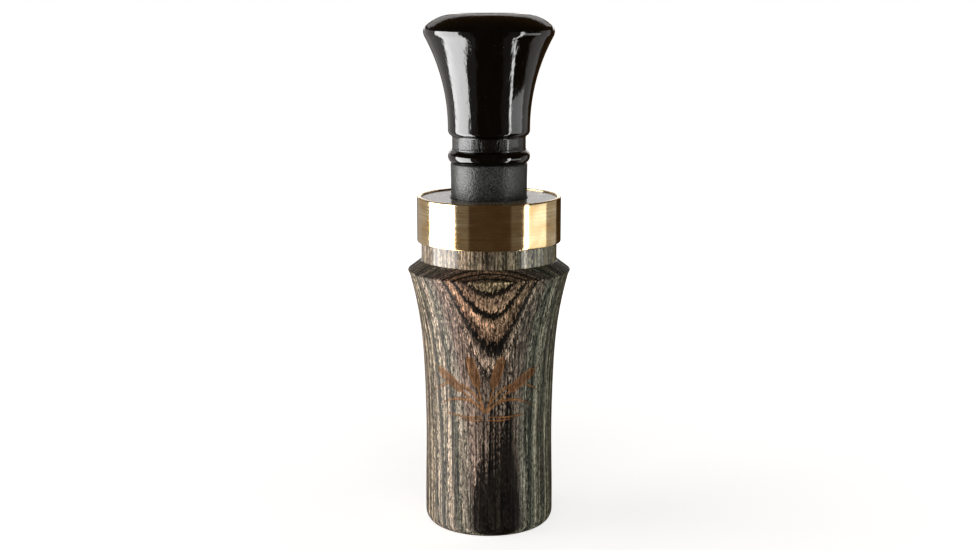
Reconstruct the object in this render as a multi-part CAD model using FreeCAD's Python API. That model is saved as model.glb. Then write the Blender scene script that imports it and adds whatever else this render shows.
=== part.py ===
import FreeCAD, Part
import math
import os

# Duck call: a turned wooden barrel with a brass band, and a push-in stopper that carries the reeds.
# Millimetres. +Z runs along the call, from the mouthpiece end to the bell. The origin is the centre of the
# mouthpiece end, and the reeds face -Y. Writes one STEP file for each piece to parts/.

V = FreeCAD.Vector
UP = V(0, 0, 1)
ORIGIN = V(0, 0, 0)

# --- barrel: turned from laminated hardwood -------------------------------------------------------------
barrel_length = 78.2
foot_diameter = 30.2            # mouthpiece end
foot_swell_height = 6.0         # where the mouthpiece end is widest
foot_round = 3.0
waist_diameter = 29.8
waist_height = 21.0
ridge_diameter = 38.0
ridge_bevel = 0.4               # small bevel under the ridge
flare_start_rise = 0.25         # the body is this much over the waist radius where the flare begins
flare_start_height = 35.0
neck_diameter = 31.6            # carries the band and leaves the lanyard groove
shoulder_height = 2.4           # slope from the ridge down to the neck
lanyard_groove_width = 4.25
insert_bore_diameter = 17.8
mouth_bore_diameter = 15.9      # 5/8 inch
mouth_bore_depth = 12.0
mouth_round = 1.2               # where the lips rest
bore_chamfer = 0.5
end_chamfer = 0.3

# --- brass band -----------------------------------------------------------------------------------------
band_height = 10.55
band_wall = 0.95
band_proud = 0.3                # stands above the end of the wood
band_chamfer = 0.3

# --- seal rings -----------------------------------------------------------------------------------------
ring_width = 1.5                # along the call
ring_squeezed = 1.4             # radial section once it is in the bore
ring_clearance = 0.02
ring_groove_width = 1.9

# --- neck sleeve: moulded, fills the bore and shows below the bell ----------------------------------------
sleeve_clearance = 0.07         # radial, in the barrel's bore
sleeve_taper = 0.07             # it swells by this much just under the bell, and so jams when pushed far in
sleeve_taper_length = 3.2
sleeve_edge_round = 0.35
sleeve_floor = 0.8              # wall left under a ring groove
sleeve_length = 26.2
ring_offsets = (14.7, 20.2)     # ring centres, down from the sleeve's top
glue_gap = 0.03

# --- bell: turned and lacquered -------------------------------------------------------------------------
bell_stand_off = 7.75           # from the band's top to the bell's underside, as it is carried
bell_length = 34.05
bell_mouth_diameter = 30.1
bell_lip_height = 4.1           # from the widest point up to the crown
bell_lip_round = 1.1            # from the widest point down to the flare's end
bell_lip_bow = 0.28             # how far the widest point stands out from there
rim_radius = 2.7                # round-over above the widest point
rim_turn = 28.0                 # degrees that the round-over covers
crown_diameter = 15.2           # ring where the lip is highest
crown_bulge = 0.75              # how far the lip's dome stands out from a straight slope
bell_wall = 1.85                # around the socket, at the cove
bead_width = 3.0
bead_rise = 0.98                # bead over cove
bead_round_in = 0.95            # how far the bead curves back at its top and underside
cove_round = 0.5
cove_width = 3.16               # from the bead's top to the cone's underside
cone_underside = 0.3            # height of the slope under the cone
cone_edge_inset = 0.5
cone_edge_height = 1.07
cone_straight = 0.4             # upright part above the cone's edge
socket_depth = 12.3
throat_clearance = 0.2          # throat over the tone board's air way
throat_length = 5.0
funnel_mouth_inset = 1.0        # funnel's edge inside the crown

# --- tone board: moulded, with the tenon that holds the stopper together ---------------------------------
board_clearance = 1.2           # radial, in the barrel's bore
board_length = 36.0             # from its shoulder to its tip
tip_round = 2.0
tip_side_chamfer = 1.4
tip_fall = 1.3                  # how far the face curves away from the reeds at the tip
flat_length = 10.0              # flat part of the face, from the wedge slot's mouth
slot_mouth_drop = 3.0           # wedge slot's mouth below the shoulder
slot_depth = 17.0
slot_height = 4.0
tenon_chamfer = 0.5
air_way_radius = 3.2
air_way_back_wall = 1.6
channel_stop = 9.0              # from the tip to the end of the tone channel

# --- reeds ----------------------------------------------------------------------------------------------
reed_thickness = 0.3
reed_side_clearance = 0.35
reed_seat_gap = 0.02            # under the lower reed
reed_gap = 0.14                 # between the reeds, kept by the dimple
dimple_gap = 0.02               # from the dimple's crest to the lower reed
lower_reed_tip_gap = 1.2        # short of the board's tip
upper_reed_tip_gap = 5.0
reed_corner = 2.6               # clipped corners at the tip
reed_end_gap = 0.4              # short of the wedge slot's end
dimple_radius = 1.2
dimple_from_tip = 12.5          # from the board's tip

# --- wedge: cut from cork ---------------------------------------------------------------------------------
wedge_clearance = 0.03
wedge_side_clearance = 0.25
wedge_end_gap = 0.05
wedge_proud = 0.8               # past the slot's mouth
wedge_chamfer = 0.5

# --- sizes that follow -----------------------------------------------------------------------------------
bore_radius = insert_bore_diameter / 2
mouth_radius = mouth_bore_diameter / 2
neck_radius = neck_diameter / 2
band_top = barrel_length + band_proud
band_bottom = band_top - band_height
neck_bottom = band_bottom - lanyard_groove_width
ridge_height = neck_bottom - shoulder_height

bell_bottom = band_top + bell_stand_off
sleeve_bottom = bell_bottom - sleeve_length
sleeve_radius = bore_radius - sleeve_clearance
ring_outer = bore_radius - ring_clearance
ring_inner = ring_outer - ring_squeezed
groove_floor = ring_inner - ring_clearance
sleeve_inner = groove_floor - sleeve_floor
tenon_radius = sleeve_inner - glue_gap
board_radius = bore_radius - board_clearance
tenon_top = bell_bottom + socket_depth
board_tip = sleeve_bottom - board_length
slot_mouth = sleeve_bottom - slot_mouth_drop
slot_end = slot_mouth + slot_depth
air_way_y = tenon_radius - air_way_back_wall - air_way_radius

lower_reed_back = -reed_seat_gap
lower_reed_front = lower_reed_back - reed_thickness
upper_reed_back = lower_reed_front - reed_gap
upper_reed_front = upper_reed_back - reed_thickness
reed_half_width = math.sqrt(tenon_radius**2 - upper_reed_front**2) - reed_side_clearance


class Outline:
    """A closed outline in the r-z plane, drawn point by point, then turned about Z."""

    def __init__(self, r, z):
        self.edges = []
        self.first = self.at = V(r, 0, z)

    def line(self, r, z):
        end = V(r, 0, z)
        self.edges.append(Part.LineSegment(self.at, end).toShape())
        self.at = end
        return self

    def arc(self, middle, end):
        middle, end = V(middle[0], 0, middle[1]), V(end[0], 0, end[1])
        self.edges.append(Part.Arc(self.at, middle, end).toShape())
        self.at = end
        return self

    def quarter(self, centre, end):
        """A round corner about centre, from the last point to end."""
        centre, end = V(centre[0], 0, centre[1]), V(end[0], 0, end[1])
        reach = (self.at - centre).Length
        middle = centre + ((self.at - centre) + (end - centre)).normalize() * reach
        return self.arc((middle.x, middle.z), (end.x, end.z))

    def curve(self, points, start_slope=None, end_slope=None):
        """A smooth curve from the last point through points. A slope is a direction (dr, dz)."""
        through = [self.at] + [V(r, 0, z) for r, z in points]
        spline = Part.BSplineCurve()
        if start_slope and end_slope:
            spline.interpolate(
                Points=through,
                InitialTangent=V(start_slope[0], 0, start_slope[1]),
                FinalTangent=V(end_slope[0], 0, end_slope[1]),
            )
        else:
            spline.interpolate(through)
        self.edges.append(spline.toShape())
        self.at = through[-1]
        return self

    def turned(self):
        if (self.at - self.first).Length > 1e-6:
            self.line(self.first.x, self.first.z)
        face = Part.Face(Part.Wire(self.edges))
        return face.revolve(ORIGIN, UP, 360)


def cylinder(radius, bottom, top, y=0.0):
    return Part.makeCylinder(radius, top - bottom, V(0, y, bottom), UP)


def block(half_width, y_low, y_high, bottom, top):
    return Part.makeBox(2 * half_width, y_high - y_low, top - bottom, V(-half_width, y_low, bottom))


def side_prism(points, half_width, arcs=()):
    """A solid as wide as 2 * half_width along X, from an outline of (y, z) points.

    arcs maps the number of a side to the point that its arc passes through.
    """
    arcs = dict(arcs)
    corners = [V(-half_width, y, z) for y, z in points]
    edges = []
    for n, start in enumerate(corners):
        end = corners[(n + 1) % len(corners)]
        if n in arcs:
            middle = V(-half_width, *arcs[n])
            edges.append(Part.Arc(start, middle, end).toShape())
        else:
            edges.append(Part.LineSegment(start, end).toShape())
    return Part.Face(Part.Wire(edges)).extrude(V(2 * half_width, 0, 0))


def make_barrel():
    """Body with a swelled foot, a waist, a flare up to the ridge, and the neck."""
    foot, waist, ridge = foot_diameter / 2, waist_diameter / 2, ridge_diameter / 2
    flare_rise = ridge - ridge_bevel - waist - flare_start_rise
    flare_foot = waist + flare_start_rise
    flare_top = ridge_height - 2 * ridge_bevel
    middle_height = (flare_start_height + flare_top) / 2
    step = bore_radius - mouth_radius
    outline = Outline(mouth_radius + mouth_round, 0)
    outline.line(foot - foot_round, 0)
    outline.quarter((foot - foot_round, foot_round), (foot, foot_round))
    outline.line(foot, foot_swell_height)
    outline.curve(
        [
            (waist, waist_height),
            (flare_foot, flare_start_height),
            (flare_foot + 0.26 * flare_rise, middle_height),
            (ridge - ridge_bevel, flare_top),
        ],
        start_slope=(0, 1),
        end_slope=(0.28, 1),
    )
    outline.line(ridge, ridge_height)
    outline.line(neck_radius, neck_bottom)
    outline.line(neck_radius, barrel_length - end_chamfer)
    outline.line(neck_radius - end_chamfer, barrel_length)
    outline.line(bore_radius + bore_chamfer, barrel_length)
    outline.line(bore_radius, barrel_length - bore_chamfer)
    outline.line(bore_radius, mouth_bore_depth + step)
    outline.line(mouth_radius, mouth_bore_depth)
    outline.line(mouth_radius, mouth_round)
    outline.quarter((mouth_radius + mouth_round, mouth_round), (mouth_radius + mouth_round, 0))
    return outline.turned()


def make_band():
    """Plain ring, glued round the neck."""
    outer = neck_radius + band_wall
    outline = Outline(neck_radius, band_bottom)
    outline.line(outer - band_chamfer, band_bottom)
    outline.line(outer, band_bottom + band_chamfer)
    outline.line(outer, band_top - band_chamfer)
    outline.line(outer - band_chamfer, band_top)
    outline.line(neck_radius, band_top)
    return outline.turned()


def make_sleeve():
    """Tube over the tenon, with a groove for each ring and a swell that shows under the bell."""
    swell = sleeve_radius + sleeve_taper
    edge = sleeve_edge_round
    outline = Outline(sleeve_inner, sleeve_bottom)
    outline.line(sleeve_radius - edge, sleeve_bottom)
    outline.line(sleeve_radius, sleeve_bottom + edge)
    for offset in reversed(ring_offsets):
        groove_bottom = bell_bottom - offset - ring_groove_width / 2
        groove_top = groove_bottom + ring_groove_width
        outline.line(sleeve_radius, groove_bottom)
        outline.line(groove_floor, groove_bottom)
        outline.line(groove_floor, groove_top)
        outline.line(sleeve_radius, groove_top)
    outline.line(sleeve_radius, bell_bottom - edge - sleeve_taper_length)
    outline.line(swell, bell_bottom - edge)
    outline.quarter((swell - edge, bell_bottom - edge), (swell - edge, bell_bottom))
    outline.line(sleeve_inner, bell_bottom)
    return outline.turned()


def make_ring(offset):
    """Seal ring, squeezed to an oval section between the groove and the bore."""
    middle = bell_bottom - offset
    half, centre = ring_width / 2, (ring_inner + ring_outer) / 2
    corner = 0.45
    outline = Outline(ring_inner, middle - half + corner)
    outline.quarter((ring_inner + corner, middle - half + corner), (ring_inner + corner, middle - half))
    outline.line(centre, middle - half)
    outline.line(ring_outer - corner, middle - half)
    outline.quarter((ring_outer - corner, middle - half + corner), (ring_outer, middle - half + corner))
    outline.line(ring_outer, middle + half - corner)
    outline.quarter((ring_outer - corner, middle + half - corner), (ring_outer - corner, middle + half))
    outline.line(ring_inner + corner, middle + half)
    outline.quarter((ring_inner + corner, middle + half - corner), (ring_inner, middle + half - corner))
    return outline.turned()


def make_bell():
    """Bead, cove, a cone that flares in one arc to the lip, and a funnel through the middle."""
    cove = tenon_radius + glue_gap + bell_wall
    bead = cove + bead_rise
    rim = bell_mouth_diameter / 2
    lip = rim - bell_lip_bow
    crown = crown_diameter / 2
    top = bell_bottom + bell_length
    widest = top - bell_lip_height
    bead_top = bell_bottom + bead_width
    cone_bottom = bead_top + cove_width
    cone_edge = cone_bottom + cone_underside
    cone_start = cone_edge + cone_edge_height
    flare_start = cone_start + cone_straight
    # the flare leaves the cone's foot straight up, so its radius follows from how far it has to go
    rise, out = widest - bell_lip_round - flare_start, lip - bead
    flare_radius = (rise**2 + out**2) / (2 * out)
    half_rise = rise * 0.6
    bow = flare_radius - math.sqrt(flare_radius**2 - half_rise**2)
    # the rim rounds over above its widest point, and the lip's dome carries on from there
    turn = math.radians(rim_turn)
    half_over = (rim - rim_radius * (1 - math.cos(turn / 2)), widest + rim_radius * math.sin(turn / 2))
    over = (rim - rim_radius * (1 - math.cos(turn)), widest + rim_radius * math.sin(turn))
    slope = V(crown - over[0], 0, top - over[1])
    across = V(slope.z, 0, -slope.x).normalize() * crown_bulge
    dome = V((crown + over[0]) / 2, 0, (top + over[1]) / 2) + across
    throat = air_way_y + air_way_radius + throat_clearance
    funnel_edge = crown - funnel_mouth_inset
    socket = tenon_radius + glue_gap

    outline = Outline(socket, bell_bottom)
    outline.line(bead - bead_round_in, bell_bottom)
    outline.arc((bead, bell_bottom + bead_width / 2), (bead - bead_round_in, bead_top))
    outline.arc((cove + 0.1 * cove_round, bead_top + 0.35 * cove_round), (cove, bead_top + 0.8 * cove_round))
    outline.line(cove, cone_bottom)
    outline.line(bead - cone_edge_inset, cone_edge)
    outline.arc((bead - 0.26 * cone_edge_inset, cone_edge + 0.45 * cone_edge_height), (bead, cone_start))
    outline.line(bead, flare_start)
    outline.arc((bead + bow, flare_start + half_rise), (lip, widest - bell_lip_round))
    outline.arc((rim - 0.25 * bell_lip_bow, widest - bell_lip_round / 2), (rim, widest))
    outline.arc(half_over, over)
    outline.arc((dome.x, dome.z), (crown, top))
    outline.arc((crown - 0.7 * funnel_mouth_inset, top - 0.2), (funnel_edge, top - funnel_mouth_inset))
    outline.curve(
        [
            (throat + 0.35 * (funnel_edge - throat), tenon_top + 0.6 * (top - tenon_top)),
            (throat, tenon_top + throat_length),
        ]
    )
    outline.line(throat, tenon_top)
    outline.line(socket, tenon_top)
    return outline.turned()


def board_face(half_width):
    """What is cut away in front of the face: flat by the slot, then curving back to the tip."""
    front = -2 * board_radius
    flat_end = slot_mouth - flat_length
    below = board_tip - 1.0
    reach = flat_end - below
    fall = tip_fall * (reach / (flat_end - board_tip)) ** 2
    points = [(front, slot_mouth), (0, slot_mouth), (0, flat_end), (fall, below), (front, below)]
    return side_prism(points, half_width, {2: (fall / 4, flat_end - reach / 2)})


def make_tone_board():
    """Half-round board below a round shoulder and tenon, with the air way, tone channel and wedge slot."""
    wide = 2 * board_radius
    board = cylinder(board_radius, board_tip, sleeve_bottom)
    board = board.fuse(cylinder(tenon_radius, sleeve_bottom, tenon_top)).removeSplitter()
    rims = [e for e in board.Edges if e.Length > 6 * tip_round and abs(e.BoundBox.ZMax - tenon_top) < 1e-6]
    board = board.makeChamfer(tenon_chamfer, rims)
    board = board.cut(board_face(wide))
    board = board.cut(block(wide, -slot_height, 0, slot_mouth - 1.0, slot_end))
    # the air way runs up through the tenon, and opens into the tone channel under the reeds
    channel_end = board_tip + channel_stop + air_way_radius
    board = board.cut(cylinder(air_way_radius, channel_end, tenon_top + 1.0, air_way_y))
    board = board.cut(Part.makeSphere(air_way_radius, V(0, air_way_y, channel_end)))
    board = board.cut(block(air_way_radius, -1.0, air_way_y, channel_end, slot_mouth))
    round_end = Part.makeCylinder(air_way_radius, air_way_y + 1.0, V(0, -1.0, channel_end), V(0, 1, 0))
    board = board.cut(round_end)
    return board.cut(tip_cutters(wide))


def tip_cutters(wide):
    """Takes the back edge and both sides off the tip, so that it slips into the barrel."""
    low = board_tip - 1.0
    back = side_prism(
        [
            (board_radius + 1.0, low),
            (board_radius + 1.0, board_tip + tip_round + 1.0),
            (board_radius - tip_round - 1.0, low),
        ],
        wide,
    )
    sides = []
    for side in (-1, 1):
        inner, outer = side * (board_radius - tip_side_chamfer), side * wide
        corners = [
            V(inner - side * 1.0, -wide, low),
            V(outer, -wide, low),
            V(outer, -wide, board_tip + tip_side_chamfer + abs(outer - side * board_radius)),
        ]
        wire = Part.makePolygon(corners + corners[:1])
        sides.append(Part.Face(wire).extrude(V(0, 2 * wide, 0)))
    return back.fuse(sides)


def reed_plate(back, front, tip):
    """Flat reed with clipped corners, from tip up to the end of the wedge slot."""
    w, top, corner = reed_half_width, slot_end - reed_end_gap, reed_corner
    corners = [(-w, top), (w, top), (w, tip + corner), (w - corner, tip), (corner - w, tip), (-w, tip + corner)]
    wire = Part.makePolygon([V(x, front, z) for x, z in corners + corners[:1]])
    return Part.Face(wire).extrude(V(0, back - front, 0))


def make_lower_reed():
    return reed_plate(lower_reed_back, lower_reed_front, board_tip + lower_reed_tip_gap)


def make_upper_reed():
    """Shorter reed, dimpled so that it rides on the lower one."""
    plate = reed_plate(upper_reed_back, upper_reed_front, board_tip + upper_reed_tip_gap)
    height = reed_gap - dimple_gap
    ball = (dimple_radius**2 + height**2) / (2 * height)
    z = board_tip + dimple_from_tip
    bump = Part.makeSphere(ball, V(0, upper_reed_back + height - ball, z))
    bump = bump.common(block(2 * dimple_radius, upper_reed_front + 0.1, upper_reed_back + height, z - 2, z + 2))
    dent = Part.makeSphere(ball, V(0, upper_reed_front + height - ball, z))
    return plate.fuse(bump).removeSplitter().cut(dent)


def make_wedge():
    """Cork block between the upper reed and the roof of the slot."""
    back, front = upper_reed_front - wedge_clearance, wedge_clearance - slot_height
    bottom, top = slot_mouth - wedge_proud, slot_end - wedge_end_gap
    body = cylinder(tenon_radius - wedge_side_clearance, bottom, top)
    body = body.common(block(tenon_radius, front, back, bottom, top))
    ends = [e for e in body.Edges if abs(e.BoundBox.ZMin - e.BoundBox.ZMax) < 1e-6 and e.BoundBox.ZMin < slot_mouth]
    return body.makeChamfer(wedge_chamfer, ends)


def main():
    os.makedirs("parts", exist_ok=True)
    pieces = {
        "barrel": make_barrel(),
        "band": make_band(),
        "neck_sleeve": make_sleeve(),
        "bell": make_bell(),
        "tone_board": make_tone_board(),
        "lower_reed": make_lower_reed(),
        "upper_reed": make_upper_reed(),
        "wedge": make_wedge(),
    }
    for name, offset in zip(("seal_ring_upper", "seal_ring_lower"), ring_offsets):
        pieces[name] = make_ring(offset)
    for name, shape in pieces.items():
        solid = shape.Solids[0]
        valid = solid.isValid() and len(shape.Solids) == 1
        print(f"{name}: {solid.Volume:.1f} mm3, valid {valid}")
        solid.exportStep(f"parts/{name}.step")


main()
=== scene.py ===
import math
import bpy
import numpy as np
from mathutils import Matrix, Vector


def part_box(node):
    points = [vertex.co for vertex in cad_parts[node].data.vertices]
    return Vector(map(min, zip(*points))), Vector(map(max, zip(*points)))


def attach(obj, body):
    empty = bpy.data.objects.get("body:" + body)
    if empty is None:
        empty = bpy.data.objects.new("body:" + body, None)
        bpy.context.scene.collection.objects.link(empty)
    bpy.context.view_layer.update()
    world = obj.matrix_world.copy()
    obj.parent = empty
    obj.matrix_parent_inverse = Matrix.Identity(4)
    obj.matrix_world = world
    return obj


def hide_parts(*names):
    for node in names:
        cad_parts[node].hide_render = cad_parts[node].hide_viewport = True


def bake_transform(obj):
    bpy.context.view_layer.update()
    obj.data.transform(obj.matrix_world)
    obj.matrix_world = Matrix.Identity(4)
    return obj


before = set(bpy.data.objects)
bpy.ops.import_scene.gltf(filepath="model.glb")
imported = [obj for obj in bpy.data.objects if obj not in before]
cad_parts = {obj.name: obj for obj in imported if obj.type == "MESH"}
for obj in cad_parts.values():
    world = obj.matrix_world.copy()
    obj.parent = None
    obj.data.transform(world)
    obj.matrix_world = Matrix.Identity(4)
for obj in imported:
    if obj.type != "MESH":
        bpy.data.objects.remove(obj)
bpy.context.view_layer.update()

mm = 0.001
print("frame loaded")


# outlines are in millimetres, as rows of (radius, height)

def boxOf(node):
    # lowest height, highest height and outer radius of a turned node
    low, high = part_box(node)
    return low[2] / mm, high[2] / mm, high[0] / mm


def arcPoints(start, middle, end, count):
    # circle through three points: its centre is equally far from all of them
    a, b, c = (np.array(point, float) for point in (start, middle, end))
    centre = np.linalg.solve(2 * np.array([b - a, c - a]), [b @ b - a @ a, c @ c - a @ a])
    spokes = np.array([a, b, c]) - centre
    swing = np.unwrap(np.arctan2(spokes[:, 1], spokes[:, 0]))
    turn = np.linspace(swing[0], swing[2], count)
    return centre + np.hypot(*spokes[0]) * np.stack([np.cos(turn), np.sin(turn)], 1)


def smoothPoints(points, startSlope, endSlope, count):
    # cubic spline through the points, knots spaced by chord, bending evenly across each knot
    p = np.array(points, float)
    chord = np.hypot(*np.diff(p, axis=0).T)
    knots = np.concatenate([[0], np.cumsum(chord)])
    size = len(p)
    system = np.eye(size)
    target = np.zeros((size, 2))
    target[0] = np.array(startSlope) / np.hypot(*startSlope)
    target[-1] = np.array(endSlope) / np.hypot(*endSlope)
    before, after = chord[:-1, None], chord[1:, None]
    inner = np.arange(1, size - 1)
    system[inner, inner - 1] = chord[1:]
    system[inner, inner] = 2 * (chord[:-1] + chord[1:])
    system[inner, inner + 1] = chord[:-1]
    steps = np.diff(p, axis=0)
    target[1:-1] = 3 * (after * steps[:-1] / before + before * steps[1:] / after)
    slopes = np.linalg.solve(system, target)
    s = np.linspace(0, knots[-1], count)
    k = np.clip(np.searchsorted(knots, s, side="right") - 1, 0, size - 2)
    h = chord[k][:, None]
    t = ((s - knots[k]) / chord[k])[:, None]
    return ((2 * t**3 - 3 * t**2 + 1) * p[k] + (t**3 - 2 * t**2 + t) * h * slopes[k]
            + (3 * t**2 - 2 * t**3) * p[k + 1] + (t**3 - t**2) * h * slopes[k + 1])


def rounded(corners, count=6):
    # corners are (radius, height, rounding); a rounded one becomes an arc tangent to both of its runs
    p = np.array([corner[:2] for corner in corners], float)
    parts = []
    for here, back, ahead, size in zip(p, np.roll(p, 1, 0), np.roll(p, -1, 0), [c[2] for c in corners]):
        if not size:
            parts.append(here[None])
            continue
        u = (back - here) / np.hypot(*(back - here))
        v = (ahead - here) / np.hypot(*(ahead - here))
        half = math.acos(float(np.clip(u @ v, -1, 1))) / 2
        inward = (u + v) / np.hypot(*(u + v))
        centre = here + inward * size / math.sin(half)
        cut = size / math.tan(half)
        parts.append(arcPoints(here + u * cut, centre - inward * size, here + v * cut, count))
    return np.concatenate(parts)


def spaced(outline, longest):
    # adds points to the long runs of a closed outline, evenly by length, and none close to a corner
    closed = np.vstack([outline, outline[:1]])
    along = np.concatenate([[0], np.cumsum(np.hypot(*np.diff(closed, axis=0).T))])
    extra = np.arange(0, along[-1], longest)
    nearest = np.abs(extra[:, None] - along[None]).min(1)
    stops = np.unique(np.concatenate([along, extra[nearest > 0.3 * longest]]))[:-1]
    return np.stack([np.interp(stops, along, closed[:, 0]), np.interp(stops, along, closed[:, 1])], 1)


def gridPiece(name, points, ring=True):
    # quads between the rows of a grid of points; columns always close, and rows close too when ring
    # is set, or else the first and last rows are capped
    rows, columns = points.shape[:2]
    index = np.arange(rows * columns).reshape(rows, columns)
    index = np.hstack([index, index[:, :1]])
    ends = [] if ring else [index[0, :-1][::-1].tolist(), index[-1, :-1].tolist()]
    if ring:
        index = np.vstack([index, index[:1]])
    quads = np.stack([index[:-1, :-1], index[:-1, 1:], index[1:, 1:], index[1:, :-1]], -1)
    mesh = bpy.data.meshes.new(name)
    mesh.from_pydata((points.reshape(-1, 3) * mm).tolist(), [], quads.reshape(-1, 4).tolist() + ends)
    mesh.polygons.foreach_set("use_smooth", np.ones(len(mesh.polygons), bool))
    mesh.update()
    piece = bpy.data.objects.new(name, mesh)
    bpy.context.scene.collection.objects.link(piece)
    return piece


def turnedPoints(outline, angles):
    # the outline swung round the Z axis: radius times cosine and sine, height unchanged
    radius, height = outline[:, :1], outline[:, 1:]
    return np.stack([radius * np.cos(angles), radius * np.sin(angles), height + 0 * angles], -1)


def fullTurn(count):
    return np.linspace(0, 2 * math.pi, count, endpoint=False)


def finishPiece(piece, node, body, material):
    piece.data.materials.append(material)
    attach(piece, body)
    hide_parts(node)


def put(tree, kind, inputs=None, **settings):
    # one node; inputs maps a socket's name or number to a value or to another node's output
    node = tree.nodes.new(kind)
    for key, value in settings.items():
        setattr(node, key, value)
    for key, value in (inputs or {}).items():
        if isinstance(value, bpy.types.NodeSocket):
            tree.links.new(value, node.inputs[key])
        else:
            node.inputs[key].default_value = value
    return node


def maths(tree, operation, a, b=0.0, clamp=False):
    return put(tree, "ShaderNodeMath", {0: a, 1: b}, operation=operation, use_clamp=clamp).outputs[0]


def ranged(tree, value, low, high, toLow=0.0, toHigh=1.0):
    inputs = {"Value": value, "From Min": low, "From Max": high, "To Min": toLow, "To Max": toHigh}
    return put(tree, "ShaderNodeMapRange", inputs, clamp=True).outputs[0]


def mixed(tree, amount, a, b, blend="MIX"):
    node = put(tree, "ShaderNodeMix", data_type="RGBA", blend_type=blend)
    for socket, value in ((node.inputs[0], amount), (node.inputs[6], a), (node.inputs[7], b)):
        if isinstance(value, bpy.types.NodeSocket):
            tree.links.new(value, socket)
        else:
            socket.default_value = value
    return node.outputs[2]


def stretched(tree, point, scale):
    return put(tree, "ShaderNodeMapping", {"Vector": point, "Scale": scale}).outputs[0]


def noise(tree, vector, detail=3.0, roughness=0.55, scale=1.0):
    inputs = {"Vector": vector, "Scale": scale, "Detail": detail, "Roughness": roughness}
    return put(tree, "ShaderNodeTexNoise", inputs).outputs["Fac"]


def bumped(tree, height, depth):
    # depth is how far a height of 1 stands out, in millimetres
    return put(tree, "ShaderNodeBump", {"Height": height, "Distance": depth * mm}).outputs[0]


def dye(red, green, blue):
    # a colour as it is seen, 0 to 255, turned into the light that it sends back
    seen = np.array([red, green, blue]) / 255
    light = np.where(seen < 0.04045, seen / 12.92, ((seen + 0.055) / 1.055) ** 2.4)
    return (*light.tolist(), 1.0)


def newGroup(name, inputs, outputs):
    group = bpy.data.node_groups.new(name, "ShaderNodeTree")
    for title, kind, default in inputs:
        socket = group.interface.new_socket(title, in_out="INPUT", socket_type="NodeSocket" + kind)
        if default is not None:
            socket.default_value = default
    for title, kind in outputs:
        group.interface.new_socket(title, in_out="OUTPUT", socket_type="NodeSocket" + kind)
    return group, group.nodes.new("NodeGroupInput").outputs, group.nodes.new("NodeGroupOutput").inputs


def useGroup(tree, group, inputs):
    return put(tree, "ShaderNodeGroup", inputs, node_tree=group).outputs


def newMaterial(name):
    # a Principled material, its tree, its shader's inputs, and the place on the piece in millimetres
    material = bpy.data.materials.new(name)
    material.use_nodes = True
    tree = material.node_tree
    shader = tree.nodes["Principled BSDF"]
    place = put(tree, "ShaderNodeTexCoord").outputs["Object"]
    point = stretched(tree, place, (1 / mm, 1 / mm, 1 / mm))
    return material, tree, shader.inputs, point


# effects as node groups: several materials share the first three, and the last is the wood's own

def makeDust():
    # sparse bright flecks where a fine noise peaks, thinned out by a broad one
    group, given, result = newGroup("dustSpecks", [("Point", "Vector", None), ("Amount", "Float", 0.5)],
                                    [("Mask", "Float")])
    fine = noise(group, stretched(group, given["Point"], (4.2, 4.2, 4.2)), 2.0, 0.5)
    broad = noise(group, stretched(group, given["Point"], (0.22, 0.22, 0.22)), 1.0, 0.5)
    edge = maths(group, "SUBTRACT", 0.86, maths(group, "MULTIPLY", given["Amount"], 0.12))
    peaks = maths(group, "ADD", fine, maths(group, "MULTIPLY", broad, 0.18))
    over = maths(group, "SUBTRACT", peaks, edge)
    group.links.new(maths(group, "MULTIPLY", over, 14.0, clamp=True), result["Mask"])
    return group


def makeLatheMarks():
    # fine rings round the piece: noise that changes quickly along Z and hardly at all round it
    group, given, result = newGroup("latheMarks", [("Point", "Vector", None), ("Pitch", "Float", 0.2)],
                                    [("Lines", "Float")])
    perPitch = maths(group, "DIVIDE", 1.0, given["Pitch"])
    split = put(group, "ShaderNodeSeparateXYZ", {0: given["Point"]}).outputs
    around = {"X": maths(group, "MULTIPLY", split["X"], 0.05),
              "Y": maths(group, "MULTIPLY", split["Y"], 0.05),
              "Z": maths(group, "MULTIPLY", split["Z"], perPitch)}
    vector = put(group, "ShaderNodeCombineXYZ", around).outputs[0]
    group.links.new(noise(group, vector, 4.0, 0.7), result["Lines"])
    return group


def makeMouldTexture():
    # the sparkle of a spark-eroded mould: small cells, uneven in height
    group, given, result = newGroup("mouldTexture", [("Point", "Vector", None), ("Grain", "Float", 0.3)],
                                    [("Height", "Float")])
    scale = maths(group, "DIVIDE", 1.0, given["Grain"])
    cells = put(group, "ShaderNodeTexVoronoi", {"Vector": given["Point"], "Scale": scale}).outputs["Distance"]
    rough = noise(group, given["Point"], 3.0, 0.6, scale=scale)
    group.links.new(maths(group, "ADD", cells, maths(group, "MULTIPLY", rough, 0.8)), result["Height"])
    return group


def makeFibres():
    # wood fibres along Z: Streak is long, fine light and dark lines, Pore is short dark dashes
    group, given, result = newGroup("woodFibres", [("Point", "Vector", None)],
                                    [("Streak", "Float"), ("Pore", "Float")])
    lines = noise(group, stretched(group, given["Point"], (2.3, 2.3, 0.05)), 2.0, 0.6)
    dashes = noise(group, stretched(group, given["Point"], (3.4, 3.4, 0.7)), 2.0, 0.6)
    group.links.new(lines, result["Streak"])
    group.links.new(ranged(group, dashes, 0.52, 0.68), result["Pore"])
    return group


def dusted(tree, dust, share, colour, fleck):
    # lets the flecks through at a share of their strength
    return mixed(tree, maths(tree, "MULTIPLY", dust, share), colour, fleck)


def dotted(tree, point, direction):
    inputs = {0: point, 1: direction}
    return put(tree, "ShaderNodeVectorMath", inputs, operation="DOT_PRODUCT").outputs["Value"]


dustSpecks = makeDust()
latheMarks = makeLatheMarks()
mouldTexture = makeMouldTexture()
woodFibres = makeFibres()
print("shared effects made")


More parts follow.
